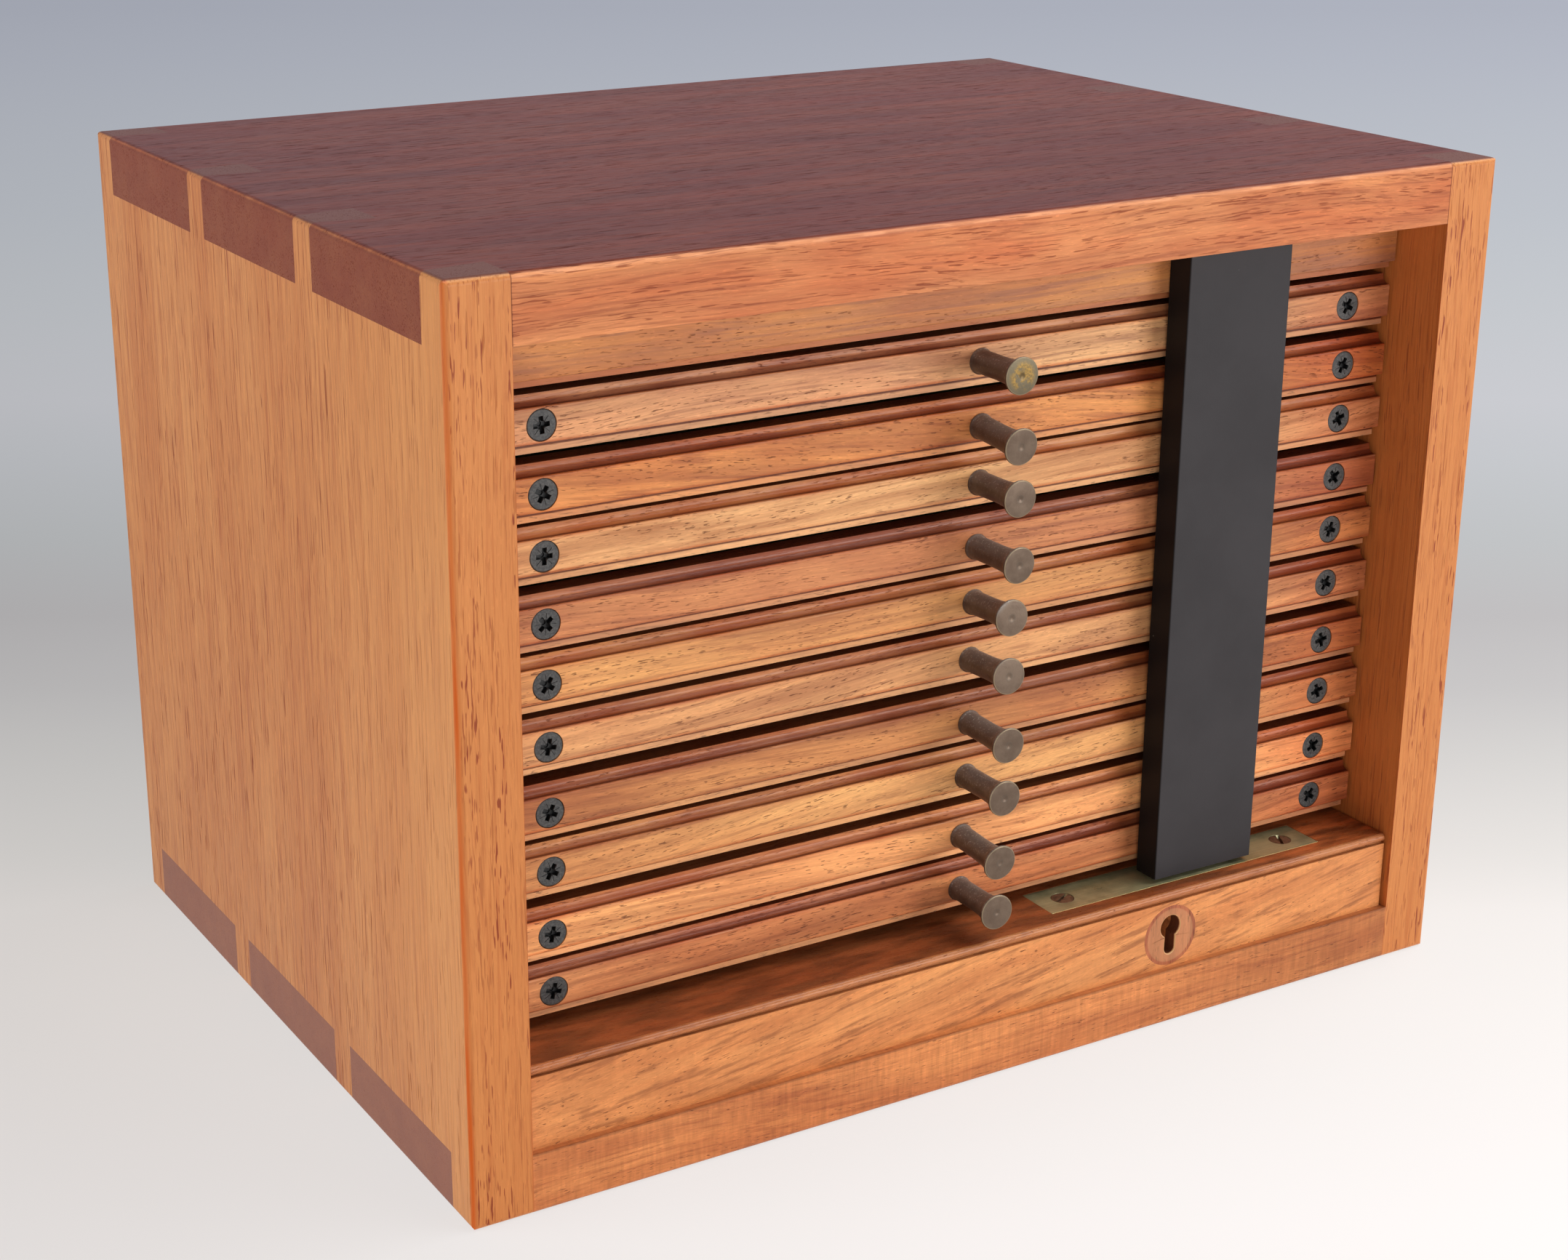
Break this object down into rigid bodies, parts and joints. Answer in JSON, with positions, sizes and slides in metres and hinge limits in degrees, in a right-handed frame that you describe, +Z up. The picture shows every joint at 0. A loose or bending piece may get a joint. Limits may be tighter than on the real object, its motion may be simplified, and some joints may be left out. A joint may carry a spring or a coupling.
{
  "type": "coin collector cabinet",
  "caption": "Dovetailed tabletop wooden cabinet with shallow side-hung coin trays, turned metal knobs, a bottom lock rail and a removable upright locking bar.",
  "frame": {"origin": "middle of the underside of the carcass", "axes": "+Z up, -Y towards the front where the trays pull out, +X to the right seen from the front"},
  "size_m": [0.303, 0.226, 0.228],
  "materials": {
    "side_wood": "waxed",
    "top_wood": "waxed",
    "bottom_wood": "waxed",
    "back_wood": "waxed",
    "rail_wood": "waxed",
    "fascia_wood": "waxed",
    "inlay_wood": "waxed",
    "tray_front_wood": "waxed",
    "tray_board_wood": "waxed",
    "patinated_brass": "dulled with age",
    "bright_brass": "worn",
    "selvedge_brass": "dull with bright edges",
    "black_bar": "satin",
    "lock_steel": "satin"
  },
  "bodies": {
    "carcass": {"left_side": "side_wood", "right_side": "side_wood", "top_board": "top_wood", "bottom_board": "bottom_wood", "back_panel": "back_wood", "runners_left": "tray_board_wood", "runners_right": "tray_board_wood", "fascia_rail": "fascia_wood", "lock_rail": "rail_wood", "keyhole_inlay": "inlay_wood", "lock_selvedge": "selvedge_brass", "lock_case": "lock_steel"},
    "lock_bolt": {"lock_bolt": "bright_brass"},
    "locking_bar": {"locking_bar": "black_bar", "bar_strike": "black_bar", "bar_pins": "lock_steel"},
    "tray_01": {"tray_01_front": "tray_front_wood", "tray_01_board": "tray_board_wood", "tray_01_knob": "bright_brass"},
    "tray_02": {"tray_02_front": "tray_front_wood", "tray_02_board": "tray_board_wood", "tray_02_knob": "patinated_brass"},
    "tray_03": {"tray_03_front": "tray_front_wood", "tray_03_board": "tray_board_wood", "tray_03_knob": "patinated_brass"},
    "tray_04": {"tray_04_front": "tray_front_wood", "tray_04_board": "tray_board_wood", "tray_04_knob": "patinated_brass"},
    "tray_05": {"tray_05_front": "tray_front_wood", "tray_05_board": "tray_board_wood", "tray_05_knob": "patinated_brass"},
    "tray_06": {"tray_06_front": "tray_front_wood", "tray_06_board": "tray_board_wood", "tray_06_knob": "patinated_brass"},
    "tray_07": {"tray_07_front": "tray_front_wood", "tray_07_board": "tray_board_wood", "tray_07_knob": "patinated_brass"},
    "tray_08": {"tray_08_front": "tray_front_wood", "tray_08_board": "tray_board_wood", "tray_08_knob": "patinated_brass"},
    "tray_09": {"tray_09_front": "tray_front_wood", "tray_09_board": "tray_board_wood", "tray_09_knob": "patinated_brass"},
    "tray_10": {"tray_10_front": "tray_front_wood", "tray_10_board": "tray_board_wood", "tray_10_knob": "patinated_brass"}
  },
  "joints": [
    {"name": "lock_bolt_slide", "type": "slide", "parent": "carcass", "child": "lock_bolt", "axis": [0, 0, 1], "range_m": [0, 0.0024]},
    {"name": "locking_bar_slide", "type": "slide", "parent": "carcass", "child": "locking_bar", "axis": [0, -1, 0], "range_m": [0, 0.2]},
    {"name": "tray_01_slide", "type": "slide", "parent": "carcass", "child": "tray_01", "axis": [0, -1, 0], "range_m": [0, 0.15]},
    {"name": "tray_02_slide", "type": "slide", "parent": "carcass", "child": "tray_02", "axis": [0, -1, 0], "range_m": [0, 0.15]},
    {"name": "tray_03_slide", "type": "slide", "parent": "carcass", "child": "tray_03", "axis": [0, -1, 0], "range_m": [0, 0.15]},
    {"name": "tray_04_slide", "type": "slide", "parent": "carcass", "child": "tray_04", "axis": [0, -1, 0], "range_m": [0, 0.15]},
    {"name": "tray_05_slide", "type": "slide", "parent": "carcass", "child": "tray_05", "axis": [0, -1, 0], "range_m": [0, 0.15]},
    {"name": "tray_06_slide", "type": "slide", "parent": "carcass", "child": "tray_06", "axis": [0, -1, 0], "range_m": [0, 0.15]},
    {"name": "tray_07_slide", "type": "slide", "parent": "carcass", "child": "tray_07", "axis": [0, -1, 0], "range_m": [0, 0.15]},
    {"name": "tray_08_slide", "type": "slide", "parent": "carcass", "child": "tray_08", "axis": [0, -1, 0], "range_m": [0, 0.15]},
    {"name": "tray_09_slide", "type": "slide", "parent": "carcass", "child": "tray_09", "axis": [0, -1, 0], "range_m": [0, 0.15]},
    {"name": "tray_10_slide", "type": "slide", "parent": "carcass", "child": "tray_10", "axis": [0, -1, 0], "range_m": [0, 0.15]}
  ],
  "couplings": [
    {"joint": "tray_01_slide", "follows": "locking_bar_slide", "ratio": 0.75},
    {"joint": "tray_02_slide", "follows": "locking_bar_slide", "ratio": 0.75},
    {"joint": "tray_03_slide", "follows": "locking_bar_slide", "ratio": 0.75},
    {"joint": "tray_04_slide", "follows": "locking_bar_slide", "ratio": 0.75},
    {"joint": "tray_05_slide", "follows": "locking_bar_slide", "ratio": 0.75},
    {"joint": "tray_06_slide", "follows": "locking_bar_slide", "ratio": 0.75},
    {"joint": "tray_07_slide", "follows": "locking_bar_slide", "ratio": 0.75},
    {"joint": "tray_08_slide", "follows": "locking_bar_slide", "ratio": 0.75},
    {"joint": "tray_09_slide", "follows": "locking_bar_slide", "ratio": 0.75},
    {"joint": "tray_10_slide", "follows": "locking_bar_slide", "ratio": 0.75}
  ]
}
